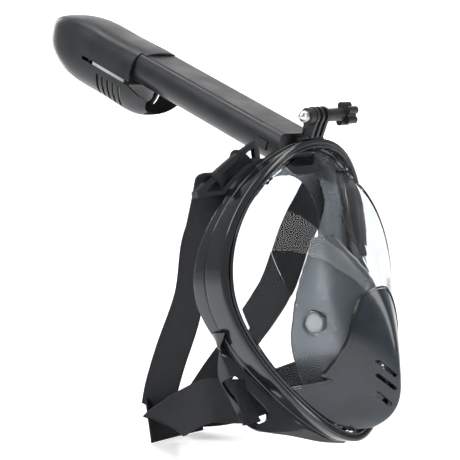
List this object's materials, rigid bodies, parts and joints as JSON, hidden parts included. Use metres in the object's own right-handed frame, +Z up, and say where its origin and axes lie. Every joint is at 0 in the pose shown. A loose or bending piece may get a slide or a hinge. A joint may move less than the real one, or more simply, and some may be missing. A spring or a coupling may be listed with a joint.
{
  "type": "full face snorkel mask",
  "caption": "Full face snorkel mask with a clear domed lens, chin drain cover, leaning dry-top snorkel tube, camera bracket and webbing headband.",
  "frame": {"origin": "centre of the face seal, in the middle of the skirt's rear opening", "axes": "+X the wearer's left, -Y ahead of the face, +Z up; the mask leans 11.5 degrees as worn, chin forward"},
  "size_m": [0.188, 0.44, 0.4015],
  "materials": {
    "clear_lens": "clear moulded polycarbonate, glossy",
    "gloss_black": "black moulded plastic, glossy",
    "satin_black": "black moulded plastic, satin",
    "slate_chin": "dark slate moulded plastic, glossy",
    "skirt_silicone": "dark translucent silicone",
    "pocket_silicone": "light grey translucent silicone",
    "seal_rubber": "black seal rubber",
    "valve_silicone": "clear white silicone",
    "strap_fabric": "black woven elastic webbing",
    "stainless": "polished stainless steel",
    "strip_grey": "light grey plastic, satin",
    "float_foam": "hollow white plastic float"
  },
  "bodies": {
    "mask": {"lens": "clear_lens", "front_bezel": "gloss_black", "lens_gasket": "seal_rubber", "rear_frame": "gloss_black", "strap_anchor_left": "gloss_black", "strap_anchor_right": "gloss_black", "face_skirt": "skirt_silicone", "nose_mouth_pocket": "pocket_silicone", "check_valve_cage_left": "pocket_silicone", "check_valve_cage_right": "pocket_silicone", "chin_cover": "slate_chin", "chin_trim": "gloss_black", "drain_valve_seat": "satin_black", "snorkel_base": "satin_black", "camera_bracket": "satin_black", "acorn_nut": "stainless", "strap_upper_left": "strap_fabric", "strap_upper_right": "strap_fabric", "strap_lower_left": "strap_fabric", "strap_lower_right": "strap_fabric", "strap_back_pad": "strap_fabric"},
    "snorkel": {"tube_body": "satin_black", "base_seal": "seal_rubber", "tube_cover": "satin_black", "tube_divider": "satin_black", "cap_top_shell": "satin_black", "cap_end": "satin_black", "cap_body": "satin_black", "cap_strips": "strip_grey", "cap_cage": "satin_black", "intake_plate": "satin_black", "exhaust_valve_flaps": "valve_silicone"},
    "float": {"float": "float_foam", "float_seal": "seal_rubber"},
    "screw": {"camera_screw": "stainless", "screw_knob": "satin_black"},
    "drain_flap": {"drain_valve_flap": "valve_silicone"},
    "check_flap_left": {"check_valve_flap_left": "valve_silicone"},
    "check_flap_right": {"check_valve_flap_right": "valve_silicone"},
    "button_left": {"release_button_left": "gloss_black"},
    "button_right": {"release_button_right": "gloss_black"}
  },
  "joints": [
    {"name": "snorkel_pull", "type": "slide", "parent": "mask", "child": "snorkel", "axis": [0, 0.9397, 0.342], "range_m": [0, 0.06]},
    {"name": "float_slide", "type": "slide", "parent": "snorkel", "child": "float", "axis": [0, 0.9397, 0.342], "range_m": [0, 0.01]},
    {"name": "screw_turn", "type": "hinge", "parent": "mask", "child": "screw", "pos_m": [0, -0.04851, 0.1558], "axis": [1, 0, 0], "continuous": true},
    {"name": "drain_flap_lift", "type": "slide", "parent": "mask", "child": "drain_flap", "axis": [0, -0.9799, 0.1994], "range_m": [0, 0.002], "stiffness_N_per_m": 20},
    {"name": "check_flap_lift_left", "type": "slide", "parent": "mask", "child": "check_flap_left", "axis": [0.9023, -0.4224, 0.0859], "range_m": [0, 0.0015], "stiffness_N_per_m": 20},
    {"name": "check_flap_lift_right", "type": "slide", "parent": "mask", "child": "check_flap_right", "axis": [-0.9023, -0.4224, 0.0859], "range_m": [0, 0.0015], "stiffness_N_per_m": 20},
    {"name": "release_press_left", "type": "slide", "parent": "mask", "child": "button_left", "axis": [-1, 0, 0], "range_m": [0, 0.0012], "stiffness_N_per_m": 300},
    {"name": "release_press_right", "type": "slide", "parent": "mask", "child": "button_right", "axis": [1, 0, 0], "range_m": [0, 0.0012], "stiffness_N_per_m": 300}
  ]
}
